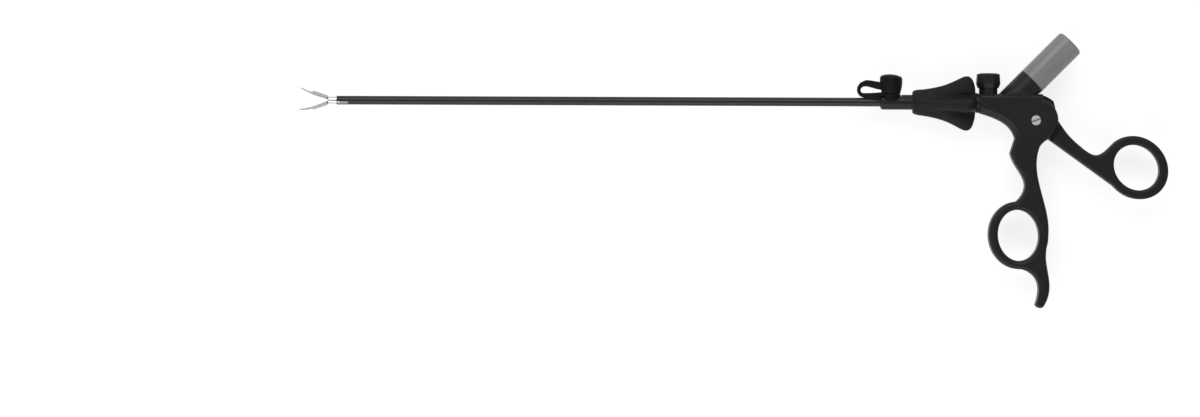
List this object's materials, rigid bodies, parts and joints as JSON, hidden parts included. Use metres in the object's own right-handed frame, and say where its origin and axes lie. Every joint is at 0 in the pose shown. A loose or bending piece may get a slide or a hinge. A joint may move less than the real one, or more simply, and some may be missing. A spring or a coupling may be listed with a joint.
{
  "type": "bipolar forceps",
  "caption": "Take-apart bipolar laparoscopic forceps: ring handle with angled connector, rotation knob, long insulated shaft, flush port with cap and curved opposed jaws.",
  "frame": {"origin": "on the shaft's axis at the far face of the hub, where the insulated shaft leaves it", "axes": "+X along the shaft towards the handle, so the jaws point to -X; +Y towards the release button and the connector; +Z out of the handle's left cheek, up as the instrument lies on its side"},
  "size_m": [0.4927, 0.1557, 0.0308],
  "materials": {
    "black_plastic": "fine satin",
    "button_plastic": "satin",
    "grey_plastic": "satin",
    "insulator": "matt",
    "shaft_insulation": "satin",
    "bezel_plastic": "satin",
    "soft_black": "matt",
    "steel": "satin",
    "bright_steel": "polished",
    "contact_metal": "plated"
  },
  "bodies": {
    "handle": {"handle_body": "black_plastic", "knob_retainer": "steel", "pivot_screw": "bright_steel", "pivot_nut": "bright_steel", "button_guide": "button_plastic", "button_spring": "steel", "connector_sleeve": "grey_plastic", "connector_insulator": "insulator", "contact_pin_left": "contact_metal", "contact_pin_right": "contact_metal"},
    "lever": {"thumb_lever": "black_plastic", "lever_bush": "steel", "ball_fork": "steel", "fork_rivet_front": "steel", "fork_rivet_rear": "steel"},
    "release_button": {"button_cap": "button_plastic", "button_stem": "steel", "latch_plate": "steel"},
    "rotor": {"rotation_knob": "black_plastic", "knob_bezel": "bezel_plastic", "shaft_hub": "black_plastic", "tube_insulation": "shaft_insulation", "outer_tube": "steel", "rod_guide_front": "insulator", "rod_guide_rear": "insulator", "drive_collar": "steel", "spigot": "bright_steel", "flush_port": "bright_steel", "port_strap": "soft_black", "jaw_clevis": "steel", "jaw_pivot_pin": "bright_steel"},
    "drive_rod": {"pull_rod": "steel", "rod_insulation": "insulator", "rod_ball": "bright_steel", "drive_tongue": "steel", "drive_pin": "bright_steel"},
    "upper_jaw": {"upper_jaw": "steel"},
    "lower_jaw": {"lower_jaw": "steel"},
    "cap": {"port_cap": "soft_black"}
  },
  "joints": [
    {"name": "lever_hinge", "type": "hinge", "parent": "handle", "child": "lever", "pos_m": [0.08775, -0.01008, 0], "axis": [0, 0, 1], "range_deg": [-15, 0]},
    {"name": "knob_turn", "type": "hinge", "parent": "handle", "child": "rotor", "pos_m": [0, 0, 0], "axis": [1, 0, 0], "continuous": true},
    {"name": "rod_slide", "type": "slide", "parent": "rotor", "child": "drive_rod", "axis": [1, 0, 0], "range_m": [0, 0.00264]},
    {"name": "upper_jaw_hinge", "type": "hinge", "parent": "rotor", "child": "upper_jaw", "pos_m": [-0.3122, 0, 0], "axis": [0, 0, 1], "range_deg": [0, 18.9]},
    {"name": "lower_jaw_hinge", "type": "hinge", "parent": "rotor", "child": "lower_jaw", "pos_m": [-0.3122, 0, 0], "axis": [0, 0, 1], "range_deg": [-18.9, 0]},
    {"name": "button_press", "type": "slide", "parent": "handle", "child": "release_button", "axis": [0, -1, 0], "range_m": [0, 0.0022], "stiffness_N_per_m": 400, "springref_m": -0.003, "deforming": ["button_spring"]},
    {"name": "cap_pull", "type": "slide", "parent": "rotor", "child": "cap", "axis": [0, 1, 0], "range_m": [0, 0.0105], "deforming": ["port_strap"]}
  ],
  "couplings": [
    {"joint": "rod_slide", "follows": "lever_hinge", "m_per_rad": -0.01008},
    {"joint": "upper_jaw_hinge", "follows": "lever_hinge", "ratio": -1.26},
    {"joint": "lower_jaw_hinge", "follows": "lever_hinge", "ratio": 1.26}
  ]
}
